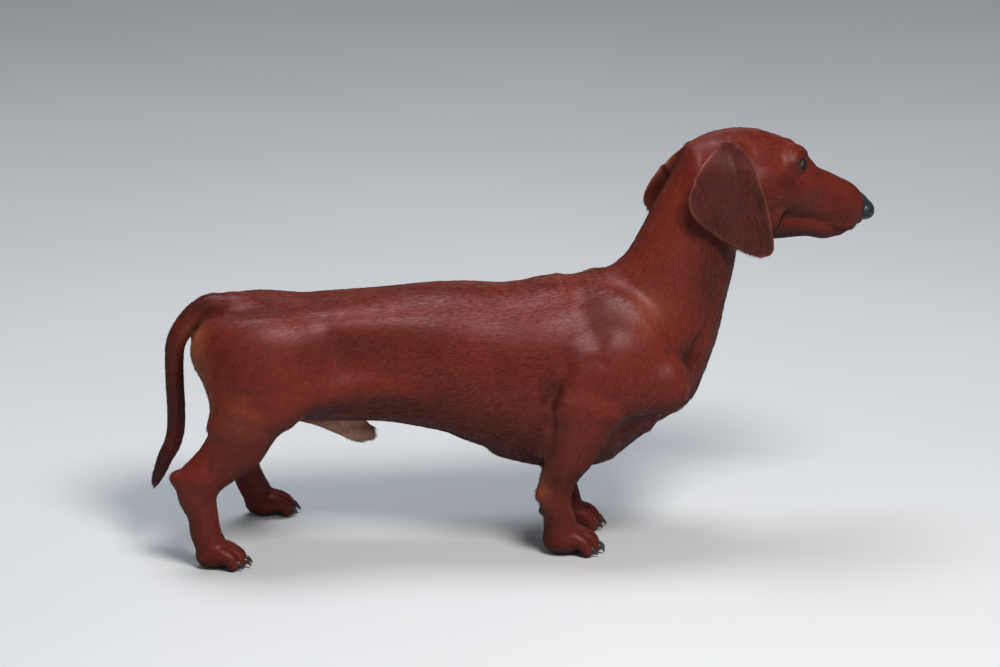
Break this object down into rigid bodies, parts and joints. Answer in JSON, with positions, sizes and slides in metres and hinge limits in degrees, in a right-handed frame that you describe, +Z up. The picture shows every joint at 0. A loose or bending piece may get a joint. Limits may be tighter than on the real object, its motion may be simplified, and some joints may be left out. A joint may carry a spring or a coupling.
{
  "type": "smooth-haired dachshund dog",
  "caption": "Life-size still model of a short-legged, long-backed smooth-coated dog standing in profile, its face turned a little away and its tail hanging down.",
  "frame": {"origin": "on the floor, under the middle of the dog's box", "axes": "+X towards the dog's nose, +Y to the dog's left, +Z up"},
  "size_m": [0.5948, 0.168, 0.3414],
  "materials": {
    "coat": "short glossy red-brown hair",
    "ear_coat": "short dark red-brown hair",
    "nose_leather": "moist dark skin",
    "eye": "wet dark brown eye"
  },
  "bodies": {
    "root": {"head": "coat", "lower_jaw": "coat", "nose": "nose_leather", "eye_left": "eye", "eye_right": "eye", "ear_left": "ear_coat", "ear_right": "ear_coat", "neck": "coat", "chest": "coat", "loin": "coat", "croup": "coat", "tail_upper": "coat", "tail_lower": "coat", "foreleg_left": "coat", "foreleg_right": "coat", "forepaw_left": "coat", "forepaw_right": "coat", "thigh_left": "coat", "thigh_right": "coat", "shank_left": "coat", "shank_right": "coat", "hindpaw_left": "coat", "hindpaw_right": "coat"}
  },
  "joints": []
}
